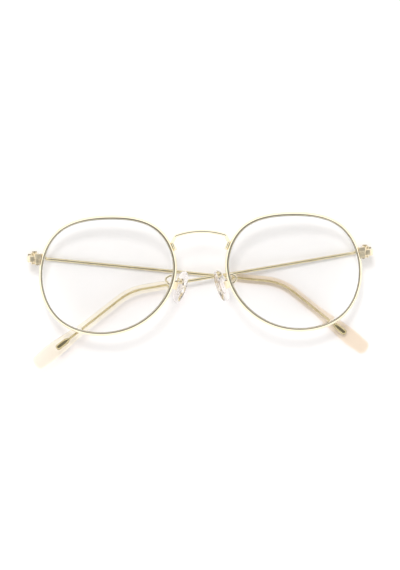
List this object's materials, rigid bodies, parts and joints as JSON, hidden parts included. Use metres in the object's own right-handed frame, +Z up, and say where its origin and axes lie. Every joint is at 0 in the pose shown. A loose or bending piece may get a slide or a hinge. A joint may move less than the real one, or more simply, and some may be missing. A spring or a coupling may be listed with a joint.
{
  "type": "wire-frame eyeglasses",
  "caption": "Round metal-wire eyeglasses with curved clear lenses, folding temples with clear tips, hinges and rocking nose pads.",
  "frame": {"origin": "middle of the base of the folded eyeglasses as they lie on a table, front facing up", "axes": "+X to the right as the front is looked at with the rims' top up, +Y to the rims' top, +Z up, out of the front"},
  "size_m": [0.1394, 0.0612, 0.0165],
  "materials": {
    "plated_metal": "bright pale gold plating",
    "screw_metal": "turned steel, gold washed",
    "clear_lens": "polished, clear",
    "clear_tip": "clear polished acetate, faint straw tint",
    "clear_pad": "translucent silicone",
    "clear_insert": "clear polished plastic"
  },
  "bodies": {
    "front": {"bridge": "plated_metal", "rim_left": "plated_metal", "rim_right": "plated_metal", "lens_left": "clear_lens", "lens_right": "clear_lens", "lock_upper_left": "plated_metal", "lock_upper_right": "plated_metal", "lock_lower_left": "plated_metal", "lock_lower_right": "plated_metal", "lock_screw_left": "screw_metal", "lock_screw_right": "screw_metal", "endpiece_left": "plated_metal", "endpiece_right": "plated_metal", "front_hinge_left": "plated_metal", "front_hinge_right": "plated_metal", "hinge_screw_left": "screw_metal", "hinge_screw_right": "screw_metal", "pad_arm_left": "plated_metal", "pad_arm_right": "plated_metal", "pad_box_left": "plated_metal", "pad_box_right": "plated_metal", "pad_screw_left": "screw_metal", "pad_screw_right": "screw_metal"},
    "temple_left": {"temple_wire_left": "plated_metal", "temple_hinge_left": "plated_metal", "ferrule_left": "plated_metal", "temple_tip_left": "clear_tip"},
    "pad_left": {"nose_pad_left": "clear_pad", "pad_stem_left": "clear_insert"},
    "temple_right": {"temple_wire_right": "plated_metal", "temple_hinge_right": "plated_metal", "ferrule_right": "plated_metal", "temple_tip_right": "clear_tip"},
    "pad_right": {"nose_pad_right": "clear_pad", "pad_stem_right": "clear_insert"}
  },
  "joints": [
    {"name": "temple_left_hinge", "type": "hinge", "parent": "front", "child": "temple_left", "pos_m": [-0.06691, 0.01369, 0.00253], "axis": [0, 1, 0], "range_deg": [0, 92.44]},
    {"name": "temple_right_hinge", "type": "hinge", "parent": "front", "child": "temple_right", "pos_m": [0.06696, 0.01369, 0.00253], "axis": [0, -1, 0], "range_deg": [0, 94.78]},
    {"name": "pad_left_pivot", "type": "hinge", "parent": "front", "child": "pad_left", "pos_m": [-0.01066, 0.00217, 0.01108], "axis": [0.309, 0.9511, 0], "range_deg": [-8, 8]},
    {"name": "pad_right_pivot", "type": "hinge", "parent": "front", "child": "pad_right", "pos_m": [0.01071, 0.00217, 0.01108], "axis": [-0.309, 0.9511, 0], "range_deg": [-8, 8]}
  ]
}
